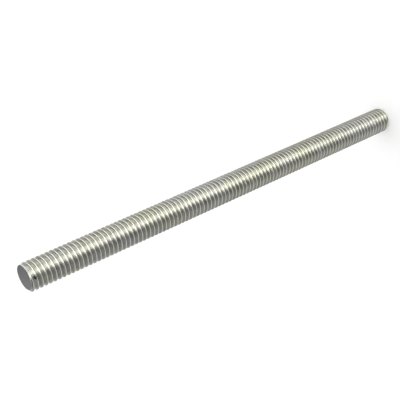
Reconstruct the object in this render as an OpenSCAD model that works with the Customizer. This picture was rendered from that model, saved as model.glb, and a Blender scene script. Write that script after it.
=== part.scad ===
// Fully threaded steel rod, one piece, standing on a sawn end.
// The origin is the centre of the lower end face, and +Z runs up the axis.
// The thread is a true right-hand helix, cut off square by the two end faces.

/* [Rod] */
// Length from one end face to the other
rod_l = 100; // [40:1:120]
// Major diameter, across the crests, as a plated M6 thread measures
major_d = 5.9; // [5:0.1:10]

/* [Thread] */
// Pitch of the single-start thread
pitch = 1; // [0.8:0.05:1.5]
// Angle between the two flanks of a groove
flank_angle = 60; // [50:1:70]
// Width of the flat crest, as a share of the pitch
crest_share = 0.18; // [0.1:0.005:0.22]
// Width of the flat at the bottom of the groove, as a share of the pitch
root_share = 0.165; // [0.1:0.005:0.25]
// Direction in which the groove runs out at the upper end face
exit_angle = 190; // [0:5:355]
// Facets that the thread may take, which set how many sides each turn has
thread_facets = 11600; // [6000:200:12000]

/* [Ends] */
// Diameter of the flat that the deburred edge leaves on each end
face_d = 5.4; // [5:0.1:5.8]
// Angle between the deburred edge and the end face
edge_angle = 45; // [30:5:60]

/* [Hidden] */
zinc = [0.72, 0.73, 0.68];

major_r = major_d / 2;
face_r = min(face_d, 0.95 * major_d) / 2;

// The profile of one pitch, measured up the rod from the start of a groove.
root_w = root_share * pitch;
crest_w = crest_share * pitch;
flank_w = (pitch - root_w - crest_w) / 2;
flank_slope = tan(flank_angle / 2);
minor_r = major_r - flank_w / flank_slope;
CORNERS = [0, root_w, root_w + flank_w, pitch - flank_w];

// The deburred edge takes a cone off the thread over this height.
edge_h = (major_r - face_r) * tan(edge_angle);
edge_steps = 4;

turns = rod_l / pitch;
sides = max(8, 2 * floor(thread_facets / (4 * len(CORNERS) * turns)));

// Radius of the thread at a height above the start of a groove.
function thread_r(height) =
    let (rise = height - pitch * floor(height / pitch))
    rise < root_w ? minor_r :
    rise < root_w + flank_w ? minor_r + (rise - root_w) / flank_slope :
    rise < pitch - flank_w ? major_r :
    minor_r + (pitch - rise) / flank_slope;

// Radius that the two deburred edges leave at a height on the rod.
function edge_r(z) = face_r + min(z, rod_l - z) / tan(edge_angle);

// Heights of the profile's corners between the two edges, where a groove starts at lead.
function corner_heights(lead) = [
    for (turn = [-1 : ceil(turns)])
        for (corner = CORNERS)
            let (z = lead + turn * pitch + corner)
            if (z > edge_h && z < rod_l - edge_h) z
];

// One line up the rod at an angle, as [radius, height] from face to face.
function column(angle) =
    let (
        lead = rod_l + pitch * (angle - exit_angle) / 360,
        low_edge = [for (i = [0 : edge_steps]) edge_h * i / edge_steps],
        high_edge = [for (i = [edge_steps : -1 : 0]) rod_l - edge_h * i / edge_steps],
        heights = concat(low_edge, corner_heights(lead - pitch * floor(lead / pitch)), high_edge)
    )
    [for (z = heights) [min(thread_r(z - lead), edge_r(z)), z]];

// Triangles between two neighbouring columns, each step taken up the one that lags.
function strip(left, right, left_start, right_start) = [
    for (
        i = 0, j = 0, up_left = left[1][1] <= right[1][1];
        i + j < len(left) + len(right) - 2;
        i = up_left ? i + 1 : i,
        j = up_left ? j : j + 1,
        up_left = j == len(right) - 1
            || (i < len(left) - 1 && left[i + 1][1] <= right[j + 1][1])
    )
        up_left
            ? [left_start + i, left_start + i + 1, right_start + j]
            : [left_start + i, right_start + j + 1, right_start + j]
];

module threaded_rod() {
    columns = [for (side = [0 : sides - 1]) column(360 * side / sides)];
    // starts[side] is the number of the first point of that column
    starts = [
        for (side = 0, count = 0;
            side < sides;
            count = count + len(columns[side]), side = side + 1)
            count
    ];
    ends = [for (side = [0 : sides - 1]) starts[side] + len(columns[side]) - 1];
    low_centre = ends[sides - 1] + 1;
    high_centre = low_centre + 1;
    points = [
        for (side = [0 : sides - 1])
            for (corner = columns[side])
                let (angle = 360 * side / sides)
                [corner[0] * cos(angle), corner[0] * sin(angle), corner[1]]
    ];
    // [side, the one next to it] all the way round
    pairs = [for (side = [0 : sides - 1]) [side, (side + 1) % sides]];
    wall = [
        for (pair = pairs)
            each strip(columns[pair[0]], columns[pair[1]], starts[pair[0]], starts[pair[1]])
    ];
    low_face = [for (pair = pairs) [low_centre, starts[pair[0]], starts[pair[1]]]];
    high_face = [for (pair = pairs) [high_centre, ends[pair[1]], ends[pair[0]]]];
    polyhedron(
        points = concat(points, [[0, 0, 0], [0, 0, rod_l]]),
        faces = concat(wall, low_face, high_face)
    );
}

color(zinc) threaded_rod();
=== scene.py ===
# %% [markdown]
# # A threaded steel rod
#
# The object is a bar of zinc-plated steel with a screw thread along its whole
# length. It is sawn off square at both ends, and the sharp edge is taken off.
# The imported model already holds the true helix, but with few sides to a turn.
# This lesson dresses it with a finer thread of the same size and at the same
# place, gives it a plated finish, and lights it on a white studio floor.

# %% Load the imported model
import math
import random

import bmesh
import bpy
import numpy as np
from mathutils import Matrix, Vector, noise


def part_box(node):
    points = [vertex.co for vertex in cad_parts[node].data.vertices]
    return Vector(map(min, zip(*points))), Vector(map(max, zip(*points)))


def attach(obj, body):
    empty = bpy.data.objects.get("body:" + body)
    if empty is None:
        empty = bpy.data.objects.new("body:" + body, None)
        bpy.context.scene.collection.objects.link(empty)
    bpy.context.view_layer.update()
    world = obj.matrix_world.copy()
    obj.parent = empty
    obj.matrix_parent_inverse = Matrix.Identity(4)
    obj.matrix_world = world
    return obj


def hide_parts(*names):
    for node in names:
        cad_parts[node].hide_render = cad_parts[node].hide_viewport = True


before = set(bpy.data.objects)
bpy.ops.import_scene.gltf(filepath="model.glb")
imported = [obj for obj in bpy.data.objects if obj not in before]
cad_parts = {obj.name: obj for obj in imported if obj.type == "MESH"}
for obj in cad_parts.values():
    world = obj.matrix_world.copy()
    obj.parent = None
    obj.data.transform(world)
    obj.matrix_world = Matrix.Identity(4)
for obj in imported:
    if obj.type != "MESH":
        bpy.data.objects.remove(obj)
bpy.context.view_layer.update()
print("packed nodes:", sorted(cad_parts))

# %% [markdown]
# ## The sizes of the thread
#
# A metric thread is fully given by its diameter and its pitch. The groove has
# flanks at 60 degrees, a narrow flat is left on the crest, and the root is
# rounded by the worn tip of the die. The length and the diameter are read from
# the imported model, so the finer thread always fits it, and the other sizes are
# those that the model was built with.

# %% Sizes, in metres
MM = 0.001
ROD_LOW, ROD_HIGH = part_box("threaded_rod")
ROD_LENGTH = ROD_HIGH.z - ROD_LOW.z
MAJOR_R = (ROD_HIGH.x - ROD_LOW.x) / 2
PITCH = 1.0 * MM
FLANK_ANGLE = math.radians(60)
CREST_W = 0.18 * PITCH
ROOT_W = 0.165 * PITCH
FLANK_W = (PITCH - CREST_W - ROOT_W) / 2
MINOR_R = MAJOR_R - FLANK_W / math.tan(FLANK_ANGLE / 2)
FACE_R = 2.7 * MM
EDGE_ANGLE = math.radians(45)
EDGE_H = (MAJOR_R - FACE_R) * math.tan(EDGE_ANGLE)
EXIT_ANGLE = math.radians(190)
print(f"rod {ROD_LENGTH / MM:.1f} mm long, {2 * MAJOR_R / MM:.2f} mm across the crests")
print(f"{2 * MINOR_R / MM:.2f} mm across the roots")

# %% [markdown]
# ## The profile of one pitch
#
# The profile could be left with sharp corners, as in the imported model. A real
# groove has a rounded root, and its crests are slightly rounded too, and it is
# those small curves that catch the light as fine bright lines. So each corner
# is replaced by an arc that touches both of its straight sides.

# %% Round the corners of the profile
ROOT_ROUND = 0.125 * PITCH
CREST_ROUND = 0.1 * PITCH


def arc_at(before, corner, after, radius, steps):
    """Points of the arc that rounds a corner, from one side to the other."""
    before, corner, after = (Vector(p) for p in (before, corner, after))
    to_before = (before - corner).normalized()
    to_after = (after - corner).normalized()
    half = to_before.angle(to_after) / 2
    centre = corner + (to_before + to_after).normalized() * radius / math.sin(half)
    start = (corner + to_before * radius / math.tan(half) - centre).normalized()
    end = (corner + to_after * radius / math.tan(half) - centre).normalized()
    return [centre + start.slerp(end, i / steps) * radius for i in range(steps + 1)]


def thread_profile():
    """One pitch of the thread as (height, radius) points, starting at the root."""
    corners = [
        (0, MINOR_R, ROOT_ROUND, 3),
        (ROOT_W, MINOR_R, ROOT_ROUND, 3),
        (ROOT_W + FLANK_W, MAJOR_R, CREST_ROUND, 2),
        (PITCH - FLANK_W, MAJOR_R, CREST_ROUND, 2),
    ]
    points = []
    for i, (height, radius, rounding, steps) in enumerate(corners):
        before = corners[i - 1][:2]
        after = corners[(i + 1) % 4][:2]
        if i == 0:
            before = (before[0] - PITCH, before[1])
        if i == 3:
            after = (after[0] + PITCH, after[1])
        points += arc_at(before, (height, radius), after, rounding, steps)
    return points


profile = thread_profile()
print("points in one pitch:", [(round(z / MM, 3), round(r / MM, 3)) for z, r in profile])

# %% [markdown]
# ## The helix
#
# Blender's Screw modifier could sweep the profile, but its turns would not
# share their edges. Here the whole thread is one grid instead. A row follows
# one profile point round and up the rod, and the last row of a turn joins the
# first row of the turn above it, so the surface is closed from end to end.

# %% Sweep the profile up the rod
STEPS_PER_TURN = 64
SPARE_TURNS = 1


def helix_grid():
    """Corners and four-sided faces of the thread, one turn too long at each end."""
    turns = round(ROD_LENGTH / PITCH) + 2 * SPARE_TURNS
    columns = turns * STEPS_PER_TURN
    step = np.arange(columns + 1)
    heights = np.array([p[0] for p in profile])
    radii = np.array([p[1] for p in profile])
    angle = (2 * np.pi * step / STEPS_PER_TURN + EXIT_ANGLE)[:, None]
    z = (PITCH * step / STEPS_PER_TURN)[:, None] + heights - SPARE_TURNS * PITCH
    radius = np.broadcast_to(radii, z.shape)
    points = np.stack([radius * np.cos(angle), radius * np.sin(angle), z], axis=-1)
    count = len(profile)
    faces = []
    for i in range(columns):
        here, ahead = i * count, (i + 1) * count
        for j in range(count - 1):
            faces.append((here + j, ahead + j, ahead + j + 1, here + j + 1))
        above = here + STEPS_PER_TURN * count
        if i + 1 + STEPS_PER_TURN <= columns:
            faces.append((here + count - 1, ahead + count - 1, above + count, above))
    return points.reshape(-1, 3), faces


grid_points, grid_faces = helix_grid()
print("corners in the sweep:", len(grid_points), "faces:", len(grid_faces))

# %% [markdown]
# ## Marks from handling
#
# A rod that has been in a rack is not perfect. Its crests carry small nicks
# where other rods knocked them, and no two turns are quite the same width. The
# nicks are real dents in the mesh, so they change the highlight and the outline
# as they do on the metal. A fixed seed places them, so they are the same in each
# run. The largest is placed beside the visible end.

# %% Dent the crests
NICKS = 170
NICK_SEED = 11
NICK_SIZE = (0.12 * MM, 0.34 * MM)
NICK_DEPTH = (0.02 * MM, 0.09 * MM)
END_NICK = {
    "angle": math.radians(255),
    "height": ROD_LENGTH - 0.88 * MM,
    "size": 0.3 * MM,
    "depth": 0.3 * MM,
}
WAVE_DEPTH = 0.012 * MM
WAVES_PER_METRE = 900
WAVY_FROM_R = MAJOR_R - 0.1 * MM


def nick_list():
    """Scattered small dents, and the one beside the visible end."""
    chance = random.Random(NICK_SEED)
    nicks = [
        {
            "angle": chance.uniform(0, 2 * math.pi),
            "height": chance.uniform(0, ROD_LENGTH),
            "size": chance.uniform(*NICK_SIZE),
            "depth": chance.uniform(*NICK_DEPTH),
        }
        for _ in range(NICKS)
    ]
    return nicks + [END_NICK]


def dent(points):
    """Presses each nick into the points, towards the axis, and makes the crests wavy."""
    radius = np.hypot(points[:, 0], points[:, 1])
    direction = points[:, :2] / radius[:, None]
    for nick in nick_list():
        centre = MAJOR_R * np.array([math.cos(nick["angle"]), math.sin(nick["angle"])])
        near = np.abs(points[:, 2] - nick["height"]) < 3 * nick["size"]
        offset = points[near, :2] - centre
        away = (offset**2).sum(1) + (points[near, 2] - nick["height"]) ** 2
        radius[near] -= nick["depth"] * np.exp(-away / nick["size"] ** 2)
    wave = np.array([noise.noise(Vector(p) * WAVES_PER_METRE) for p in points])
    radius += WAVE_DEPTH * wave * (radius > WAVY_FROM_R)
    points[:, :2] = direction * radius[:, None]
    return points


grid_points = dent(grid_points)
print("nicks:", len(nick_list()))

# %% [markdown]
# ## The two ends
#
# A boolean with a bevelled cylinder would trim the thread, but it is slow on a
# mesh of this size. Slicing is enough. A few level cuts near each end add the
# rows that the bevel needs, the points there are pulled in to the cone of the
# deburred edge, and the last cut leaves a flat face, which gets a finish of its
# own because bare sawn steel shows there. The pieces to cut are gathered in a
# dictionary, because a set would give them in another order in each run.

# %% Trim and cap the thread
EDGE_CUTS = 6
CUT_REACH = 1.5 * PITCH
TOUCHING = 1e-7


def cut(mesh, height, clear_above=False, clear_below=False):
    """Cuts the mesh at a height and returns the edges that lie in the cut."""
    bottom, top = height - CUT_REACH, height + CUT_REACH
    faces = [f for f in mesh.faces if bottom < f.calc_center_median().z < top]
    edges = dict.fromkeys(e for f in faces for e in f.edges)
    corners = dict.fromkeys(v for f in faces for v in f.verts)
    result = bmesh.ops.bisect_plane(
        mesh,
        geom=[*faces, *edges, *corners],
        plane_co=(0, 0, height),
        plane_no=(0, 0, 1),
        clear_outer=clear_above,
        clear_inner=clear_below,
    )
    return [g for g in result["geom_cut"] if isinstance(g, bmesh.types.BMEdge)]


def pull_in_edges(mesh):
    """Moves what stands proud of the deburred edges in to their cones."""
    for v in mesh.verts:
        z = min(max(v.co.z, 0), ROD_LENGTH)
        limit = FACE_R + min(z, ROD_LENGTH - z) / math.tan(EDGE_ANGLE)
        radius = v.co.xy.length
        if radius > limit:
            v.co.x *= limit / radius
            v.co.y *= limit / radius


def thread_mesh():
    """The finished thread, with a flat face at each end in the second material."""
    mesh = bmesh.new()
    corners = [mesh.verts.new(p) for p in grid_points]
    for face in grid_faces:
        mesh.faces.new([corners[i] for i in face]).smooth = True
    for i in range(EDGE_CUTS):
        inset = EDGE_H * (i + 1) / EDGE_CUTS
        cut(mesh, inset)
        cut(mesh, ROD_LENGTH - inset)
    pull_in_edges(mesh)
    for height, outward in ((0, -1), (ROD_LENGTH, 1)):
        rim = cut(mesh, height, clear_above=outward > 0, clear_below=outward < 0)
        leftover = [v for v in mesh.verts if (v.co.z - height) * outward > TOUCHING]
        bmesh.ops.delete(mesh, geom=leftover, context="VERTS")
        rim = [e for e in rim if e.is_valid]
        filled = bmesh.ops.contextual_create(mesh, geom=rim)
        for face in filled["faces"]:
            face.material_index = 1
            face.smooth = False
    bmesh.ops.recalc_face_normals(mesh, faces=mesh.faces)
    data = bpy.data.meshes.new("fine_thread")
    mesh.to_mesh(data)
    mesh.free()
    return data


thread = bpy.data.objects.new("fine_thread", thread_mesh())
bpy.context.scene.collection.objects.link(thread)
print("triangles:", sum(len(p.vertices) - 2 for p in thread.data.polygons))

# %% [markdown]
# ## Writing a finish as a sum
#
# A finish is easier to read as arithmetic than as a web of links. The class
# below wraps one output of a node. Adding or multiplying two of them adds the
# Math node that does it, so a mask reads as it would on paper. Most masks here
# are 0 on one side of a value and climb to 1 on the other, so the class has a
# method for each direction.

# %% A node's output that can be used in a sum


class Wire:
    """One output of a node. Sums of wires and numbers add Math nodes."""

    def __init__(self, socket):
        self.socket = socket
        self.tree = socket.id_data

    def math(self, operation, *values):
        sockets = dict(enumerate(values))
        node = add_node(self.tree, "ShaderNodeMath", {"operation": operation}, sockets)
        return Wire(node.outputs[0])

    def __add__(self, other):
        return self.math("ADD", self, other)

    def __radd__(self, other):
        return self.math("ADD", other, self)

    def __sub__(self, other):
        return self.math("SUBTRACT", self, other)

    def __rsub__(self, other):
        return self.math("SUBTRACT", other, self)

    def __mul__(self, other):
        return self.math("MULTIPLY", self, other)

    def __rmul__(self, other):
        return self.math("MULTIPLY", other, self)

    def clamped(self):
        return self.math("MINIMUM", self.math("MAXIMUM", self, 0.0), 1.0)

    def above(self, limit, slope):
        """A mask that is 0 up to the limit and climbs to 1 above it."""
        return ((self - limit) * slope).clamped()

    def below(self, limit, slope):
        """A mask that is 0 down to the limit and climbs to 1 below it."""
        return ((limit - self) * slope).clamped()


def add_node(tree, kind, settings, sockets):
    """Adds a node, with its settings first and then the values or links of its sockets."""
    node = tree.nodes.new(kind)
    for name, value in settings.items():
        if name == "stops":
            ramp = node.color_ramp.elements
            while len(ramp) < len(value):
                ramp.new(1.0)
            for element, (position, colour) in zip(ramp, value):
                element.position = position
                element.color = (*colour, 1.0)
        else:
            setattr(node, name, value)
    for key, value in sockets.items():
        if isinstance(value, Wire):
            tree.links.new(value.socket, node.inputs[key])
        else:
            node.inputs[key].default_value = value
    return node


def mix_colours(tree, factor, first, second):
    """A colour between two others, by a factor from 0 to 1."""
    colours = [c if isinstance(c, Wire) else (*c, 1.0) for c in (first, second)]
    settings = {"data_type": "RGBA"}
    node = add_node(tree, "ShaderNodeMix", settings, {0: factor, 6: colours[0], 7: colours[1]})
    return Wire(node.outputs[2])


def new_material(name):
    """A material with only its output, and the tree to build it in."""
    material = bpy.data.materials.new(name)
    material.use_nodes = True
    tree = material.node_tree
    tree.nodes.clear()
    return material, tree


def vector_math(tree, operation, first, second, output=0):
    """One Vector Math node, and the output of it that is asked for."""
    sockets = {0: first, 1: second}
    node = add_node(tree, "ShaderNodeVectorMath", {"operation": operation}, sockets)
    return Wire(node.outputs[output])


def place_in_mm(tree):
    """The place on the object, in millimetres from the centre of the lower face."""
    place = Wire(add_node(tree, "ShaderNodeTexCoord", {}, {}).outputs["Object"])
    return vector_math(tree, "MULTIPLY", place, (1 / MM, 1 / MM, 1 / MM))


def from_axis(tree, place):
    """The place with its height left out, and its distance from the axis."""
    across = vector_math(tree, "MULTIPLY", place, (1, 1, 0))
    return across, vector_math(tree, "LENGTH", across, (0, 0, 0), "Value")


def on_rim(radius, angle, height=0):
    """A place at an angle round the axis, in millimetres, from sizes in metres."""
    return (radius * math.cos(angle) / MM, radius * math.sin(angle) / MM, height / MM)


def speckle(tree, place, scale, stretch, detail=3.0):
    """Noise with a number of spots to the millimetre, squeezed along each axis."""
    sockets = {
        "Vector": vector_math(tree, "MULTIPLY", place, stretch),
        "Scale": scale,
        "Detail": detail,
    }
    return Wire(add_node(tree, "ShaderNodeTexNoise", {}, sockets).outputs[0])


def metal(tree, colour, metallic, rough, bump):
    """Ends a material with its bump, its metal shader and its output."""
    raised = add_node(tree, "ShaderNodeBump", {}, bump)
    sockets = {
        "Base Color": colour,
        "Metallic": metallic,
        "Roughness": rough,
        "Normal": Wire(raised.outputs[0]),
    }
    shader = add_node(tree, "ShaderNodeBsdfPrincipled", {}, sockets)
    add_node(tree, "ShaderNodeOutputMaterial", {}, {"Surface": Wire(shader.outputs[0])})


print("node helpers are ready")

# %% [markdown]
# ## Zinc plate over steel
#
# The plating is a thin layer of zinc with a clear yellowish passivation. The
# crests show its own colour, broken up by noise like light wear. Down in the
# grooves the colour is darkened as painted shade, darkest at the root, since the
# rod shades its own grooves. So the finish is driven by the distance from the
# axis, which tells a crest from a root wherever the rod is seen from. Noise that
# is squeezed along the rod gives the streaks that run round it, and a larger
# noise gives the yellow patches.
#
# The visible end gets marks of its own. Handling has rubbed its last turns
# bright. The +X side of its deburred edge gets a painted highlight, near white
# and mostly non-metallic, over the fresh metal there, and the large nick beside
# it gets a ring of painted shade.

# %% The plated finish
ZINC_PALE, ZINC_YELLOW = (0.81, 0.81, 0.79), (0.83, 0.83, 0.65)
# Painted shade: the flank and root colours are darker because the grooves lie in the rod's own
# shade.
FLANK_SHADE_DARK, FLANK_SHADE_PALE = (0.45, 0.45, 0.435), (0.68, 0.68, 0.645)
ROOT_PAINTED_SHADE = (0.34, 0.34, 0.33)
# Painted highlight: a near white for one side of the end's edge.
FRESH_METAL_HIGHLIGHT = (0.92, 0.92, 0.90)
# Painted shade: a near black for the inside of the large nick.
NICK_SHADE_DARK = (0.03, 0.03, 0.035)
RUBBED_FROM = ROD_LENGTH - 1.8 * PITCH
EDGE_FROM = ROD_LENGTH - 1.05 * EDGE_H


def zinc_plate():
    material, tree = new_material("zinc_plate")
    place = place_in_mm(tree)
    parts = add_node(tree, "ShaderNodeSeparateXYZ", {}, {0: place})
    x, z = Wire(parts.outputs["X"]), Wire(parts.outputs["Z"])
    radius = from_axis(tree, place)[1]
    crest = radius.above(MINOR_R / MM, MM / (MAJOR_R - MINOR_R))
    patches = speckle(tree, place, 0.12, (1, 1, 1))
    grain = speckle(tree, place, 0.9, (1, 1, 2.5))
    streaks = speckle(tree, place, 0.45, (1, 1, 8))
    drawn = speckle(tree, place, 0.7, (1, 1, 14))
    nick_shade_noise = speckle(tree, place, 3.5, (1, 1, 1))

    # The plate, from the crest down to the root, with painted shade in the groove
    rubbed = z.above(RUBBED_FROM / MM, 1)
    tint = ((patches - 0.42) * 5 - rubbed).clamped()
    dull = ((streaks - 0.5) * 2.4 + 0.5).clamped()
    bright = mix_colours(tree, tint, ZINC_PALE, ZINC_YELLOW)
    # Painted shade: the flanks are darkened, varied by the streaks, and the root darker still.
    flank_shade = mix_colours(tree, dull, FLANK_SHADE_DARK, FLANK_SHADE_PALE)
    groove_shade = mix_colours(tree, crest.below(0.2, 5), flank_shade, ROOT_PAINTED_SHADE)
    # The crest mask, broken by noise like wear, lifts the painted groove shade off the crests.
    unshaded_crest_and_wear = ((crest - 0.68) * 4 + (grain - 0.5) * 0.8 + (streaks - 0.5) * 1.4).clamped()
    plate_with_groove_shade = mix_colours(tree, (unshaded_crest_and_wear + rubbed * 0.3).clamped(), groove_shade, bright)

    # A painted highlight on the +X side of the fresh edge, and painted shade round the large
    # nick
    edge = z.above(EDGE_FROM / MM, 12)
    # Painted highlight: the +X side of the edge is turned near white.
    fresh_and_highlight = edge * x.above(-0.35, 3) * (0.55 + grain * 0.7).clamped()
    with_edge_highlight = mix_colours(tree, fresh_and_highlight, plate_with_groove_shade, FRESH_METAL_HIGHLIGHT)
    nick_r = MAJOR_R - END_NICK["depth"] / 2
    nick_at = on_rim(nick_r, END_NICK["angle"], END_NICK["height"])
    away = vector_math(tree, "DISTANCE", place, nick_at, "Value") + (nick_shade_noise - 0.5) * 0.9
    # Painted shade: a dark ring, lighter at its centre, round the large nick.
    nick_shade = away.below(0.40, 9) - away.below(0.16, 9) * 0.8
    colour = mix_colours(tree, nick_shade, with_edge_highlight, NICK_SHADE_DARK)

    rough = 0.27 - crest * 0.07 + (grain - 0.5) * 0.2 + (streaks - 0.5) * 0.2
    bump = {"Strength": 0.35, "Distance": 0.03 * MM, "Height": drawn + grain}
    # The painted highlight on the edge is also made mostly non-metallic, so it stays near
    # white.
    metal(tree, colour, 1.0 - fresh_and_highlight * 0.85, rough, bump)
    return material


zinc = zinc_plate()
print("made", zinc.name, "with", len(zinc.node_tree.nodes), "nodes")

# %% [markdown]
# ## The sawn faces
#
# The saw goes through the bar after plating, so its end is bare steel. It is
# flat, grey and matte, with faint scratches all in the direction of the blade.
# Noise that is stretched along one direction gives those scratches. The face
# is a little darker towards +X, and a thin line of painted shade runs along a
# short part of its rim.

# %% The bare sawn finish
RIM_SHADE_ANGLE = math.radians(280)
STEEL_DARK, STEEL_PALE = (0.11, 0.115, 0.123), (0.21, 0.215, 0.224)
# Painted shade: a near black for the line along the rim.
RIM_SHADE_DARK = (0.02, 0.02, 0.02)


def sawn_steel():
    material, tree = new_material("sawn_steel")
    place = place_in_mm(tree)
    scratches = speckle(tree, place, 0.5, (1, 9, 1), 4.0)
    clouds = speckle(tree, place, 0.42, (1, 1, 1), 4.0)
    x = Wire(add_node(tree, "ShaderNodeSeparateXYZ", {}, {0: place}).outputs["X"])
    shade = ((scratches - 0.5) * 0.5 + (clouds - 0.5) * 1.4 + 0.5 - x * 0.13).clamped()
    bare = mix_colours(tree, shade, STEEL_DARK, STEEL_PALE)

    across, radius = from_axis(tree, place)
    away = vector_math(tree, "DISTANCE", across, on_rim(FACE_R, RIM_SHADE_ANGLE), "Value")
    # Painted shade: a dark line along the rim, near one angle.
    rim_shade = radius.above(2.2, 6) * away.below(1.0, 4)
    colour = mix_colours(tree, rim_shade, bare, RIM_SHADE_DARK)
    bump = {"Strength": 0.5, "Distance": 0.02 * MM, "Height": scratches}
    metal(tree, colour, 1.0, 0.5 + (clouds - 0.5) * 0.2, bump)
    return material


sawn = sawn_steel()
print("made", sawn.name, "with", len(sawn.node_tree.nodes), "nodes")

# %% [markdown]
# ## Putting the thread in the frame
#
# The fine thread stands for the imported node, so that node is hidden. It still
# carries the weight and the collision in the simulation, and the fine thread
# rides on the same body.

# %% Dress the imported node
thread.data.materials.append(zinc)
thread.data.materials.append(sawn)
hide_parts("threaded_rod")
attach(thread, "root")

# %% [markdown]
# ## A white studio
#
# The rod stands on a plain white floor in front of a white surround. Polished
# metal shows what is around it, so the surround matters more than the lamp.
# Seen by the camera it is plain white. In reflections it is a studio with one
# bright side, a bright strip along the rod's highlight, and a darker side.
# The farther down the rod a turn is, the steeper down its mirror image points,
# so a second set of levels for steep directions shades the far end by itself.
# Straight down, the mirror image is the floor. High up on the camera's side the
# surround is a plain grey, so that the rod is less glaring from above.

# %% The surround
WALLS = [
    (0.00, 1.10),
    (0.05, 0.60),
    (0.10, 0.34),
    (0.14, 0.38),
    (0.20, 0.48),
    (0.29, 0.55),
    (0.34, 0.44),
    (0.38, 0.36),
    (0.42, 0.32),
    (0.45, 0.38),
    (0.475, 0.56),
    (0.50, 1.10),
    (0.52, 2.20),
    (0.55, 2.80),
    (0.58, 2.80),
    (0.61, 1.90),
    (0.65, 1.25),
    (0.71, 1.65),
    (0.75, 1.42),
    (0.80, 0.88),
    (0.90, 0.50),
    (0.95, 0.80),
    (1.00, 1.10),
]
WALLS_LOW = [
    (0.00, 1.00),
    (0.05, 0.60),
    (0.10, 0.42),
    (0.14, 0.50),
    (0.205, 0.72),
    (0.253, 0.74),
    (0.295, 0.70),
    (0.333, 0.66),
    (0.369, 0.62),
    (0.403, 0.62),
    (0.436, 0.80),
    (0.468, 1.55),
    (0.50, 2.70),
    (0.532, 3.60),
    (0.564, 3.40),
    (0.597, 2.50),
    (0.631, 1.60),
    (0.667, 1.30),
    (0.705, 1.30),
    (0.747, 1.05),
    (0.795, 0.52),
    (0.857, 0.28),
    (0.94, 0.60),
    (1.00, 1.00),
]
OVERHEAD = [
    (0.00, 0.35),
    (0.17, 0.30),
    (0.23, 0.14),
    (0.31, 0.10),
    (0.36, 0.20),
    (0.40, 0.72),
    (0.45, 1.60),
    (0.50, 1.95),
    (0.55, 1.45),
    (0.60, 0.75),
    (0.645, 0.36),
    (0.69, 0.24),
    (0.77, 0.25),
    (0.83, 0.18),
    (1.00, 0.18),
]
STEEP_FROM, FLOOR_FROM = 0.34, 0.8
OVERHEAD_FROM, FRONT_FROM = 0.45, 0.35
PLAIN_GREY = (0.7, 0.7, 0.68)
MATTE_LIGHT = (0.75, 0.75, 0.75)
WHITE = (1.0, 1.0, 1.0)
WARMTH = 0.045


def warm_stops(levels):
    """Stops of a ramp from (position, level) pairs, warmer where it is brighter."""
    return [(p, (level, level, level * (1.0 - WARMTH * level))) for p, level in levels]


def studio_world():
    world = bpy.data.worlds.new("studio")
    bpy.context.scene.world = world
    world.use_nodes = True
    tree = world.node_tree
    tree.nodes.clear()
    direction = Wire(add_node(tree, "ShaderNodeTexCoord", {}, {}).outputs["Generated"])
    parts = add_node(tree, "ShaderNodeSeparateXYZ", {}, {0: direction})
    x, y, z = (Wire(parts.outputs[axis]) for axis in "XYZ")
    down, front = z * -1.0, y * -1.0
    bearing = x.math("ARCTAN2", x, front) * (1 / math.tau) + 0.5

    def ramp(levels, position):
        settings = {"stops": warm_stops(levels)}
        return Wire(add_node(tree, "ShaderNodeValToRGB", settings, {0: position}).outputs[0])

    steep = down.above(STEEP_FROM, 5)
    around = mix_colours(tree, steep, ramp(WALLS, bearing), ramp(WALLS_LOW, bearing))
    around = mix_colours(tree, down.above(FLOOR_FROM, 6), around, PLAIN_GREY)
    raised = z.above(OVERHEAD_FROM, 3)
    around = mix_colours(tree, raised, around, ramp(OVERHEAD, x * 0.5 + 0.5))
    high_front = z.above(OVERHEAD_FROM, 5) * front.above(FRONT_FROM, 5)
    around = mix_colours(tree, high_front, around, PLAIN_GREY)
    rays = add_node(tree, "ShaderNodeLightPath", {}, {})
    camera, glass, glossy = (
        Wire(rays.outputs[f"Is {kind} Ray"]) for kind in ("Camera", "Transmission", "Glossy")
    )
    reflected = mix_colours(tree, glossy, MATTE_LIGHT, around)
    colour = mix_colours(tree, (camera + glass).clamped(), reflected, WHITE)
    background = add_node(tree, "ShaderNodeBackground", {}, {"Color": colour})
    add_node(tree, "ShaderNodeOutputWorld", {}, {"Surface": Wire(background.outputs[0])})


studio_world()
print("surround stops:", len(WALLS) + len(WALLS_LOW) + len(OVERHEAD))

# %% [markdown]
# ## The floor
#
# A white sheet would show grey under an even light. The light could be raised,
# but then the metal would be too bright. So the floor glows a little to the
# camera alone, which leaves it white with a soft shadow of the rod on it.

# %% The floor
FLOOR_SIZE = 3.0
FLOOR_GLOW = 0.2
FLOOR_PAINT = (0.85, 0.85, 0.85, 1.0)


def flat_sheet(name, corners, material):
    """A four-cornered sheet that is part of the studio and not of the object."""
    data = bpy.data.meshes.new(name)
    data.from_pydata(corners, [], [(0, 1, 2, 3)])
    data.materials.append(material)
    sheet = bpy.data.objects.new(name, data)
    bpy.context.scene.collection.objects.link(sheet)
    return sheet


def white_floor():
    material, tree = new_material("white_floor")
    rays = add_node(tree, "ShaderNodeLightPath", {}, {})
    glow_level = Wire(rays.outputs["Is Camera Ray"]) * FLOOR_GLOW
    paint = add_node(tree, "ShaderNodeBsdfDiffuse", {}, {"Color": FLOOR_PAINT})
    glow = add_node(tree, "ShaderNodeEmission", {}, {"Strength": glow_level})
    shaders = {0: Wire(paint.outputs[0]), 1: Wire(glow.outputs[0])}
    both = add_node(tree, "ShaderNodeAddShader", {}, shaders)
    add_node(tree, "ShaderNodeOutputMaterial", {}, {"Surface": Wire(both.outputs[0])})
    half = FLOOR_SIZE / 2
    corners = [(-half, -half, 0), (half, -half, 0), (half, half, 0), (-half, half, 0)]
    flat_sheet("floor", corners, material).visible_glossy = False


white_floor()
print("floor:", FLOOR_SIZE, "m square")

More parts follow.
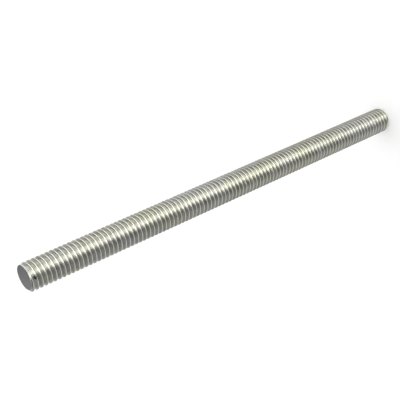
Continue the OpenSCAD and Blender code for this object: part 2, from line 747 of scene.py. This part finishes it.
# %% [markdown]
# ## Two grey cards
#
# In the photograph the upper half of the rod is darker at the far end than at
# the near end. The surround is the same for both, so two grey cards stand close
# beside the lower half of the rod. Only reflections show them, and they cast no
# shadow.

# %% The cards
CARD_X = 0.04
CARDS = [
    {"y": (-0.014, 0.06), "z": (-0.06, 0.06), "level": 0.5},
    {"y": (-0.13, -0.022), "z": (-0.14, 0.027), "level": 0.9},
]


def grey_card(number, card):
    name = f"card_{number}"
    material, tree = new_material("grey_" + name)
    level = card["level"]
    colour = (level, level, level * 0.98, 1.0)
    glow = add_node(tree, "ShaderNodeEmission", {}, {"Color": colour})
    add_node(tree, "ShaderNodeOutputMaterial", {}, {"Surface": Wire(glow.outputs[0])})
    (near, far), (low, high) = card["y"], card["z"]
    corners = [(CARD_X, y, z) for y, z in ((near, low), (far, low), (far, high), (near, high))]
    sheet = flat_sheet(name, corners, material)
    sheet.visible_camera = False
    sheet.visible_diffuse = False
    sheet.visible_shadow = False


for number, card in enumerate(CARDS):
    grey_card(number, card)
print("cards:", len(CARDS))

# %% [markdown]
# ## The lamp
#
# A photographer would hang a large soft box over the rod. A sun lamp with a wide
# angle gives the same soft shadow with less to set up. Reflections leave it out,
# because the surround already holds the bright strip that the metal mirrors.

# %% The lamp
LAMP_FROM = (0.25, 0.15, 1.0)
LAMP_ANGLE = math.radians(50)
LAMP_STRENGTH = 0.9


def soft_lamp():
    """A wide, even light from one direction, with soft shadows."""
    lamp = bpy.data.lights.new("overhead", "SUN")
    lamp.angle = LAMP_ANGLE
    lamp.energy = LAMP_STRENGTH
    made = bpy.data.objects.new("overhead", lamp)
    made.rotation_euler = Vector(LAMP_FROM).to_track_quat("Z", "Y").to_euler()
    made.visible_glossy = False
    bpy.context.scene.collection.objects.link(made)


soft_lamp()

# %% [markdown]
# ## The camera
#
# The photograph looks along the rod from one end, with the camera turned on its
# side. The rod stands here, so the camera looks down at it from above its
# visible end and is rolled until the rod lies across the picture.

# %% The camera
AIM = Vector((0, 0, 0.0575))
DISTANCE = 0.18905
ELEVATION = math.radians(32.08)
ROLL = math.radians(-114.07)
LENS = 80.0
SENSOR = 36.0
CLIP_START = 1 * MM


def photo_camera():
    data = bpy.data.cameras.new("photo_view")
    data.lens = LENS
    data.sensor_width = SENSOR
    data.clip_start = CLIP_START
    back = Vector((0, -math.cos(ELEVATION), math.sin(ELEVATION)))
    level = Vector((0, 0, 1)).cross(back).normalized()
    above = back.cross(level)
    right = level * math.cos(ROLL) + above * math.sin(ROLL)
    up = back.cross(right)
    turn = Matrix((right, up, back)).transposed()
    camera = bpy.data.objects.new("photo_view", data)
    camera.matrix_world = Matrix.Translation(AIM + back * DISTANCE) @ turn.to_4x4()
    bpy.context.scene.collection.objects.link(camera)
    bpy.context.scene.camera = camera


photo_camera()
bpy.context.scene.view_settings.view_transform = "Standard"
print("lens:", LENS, "mm")
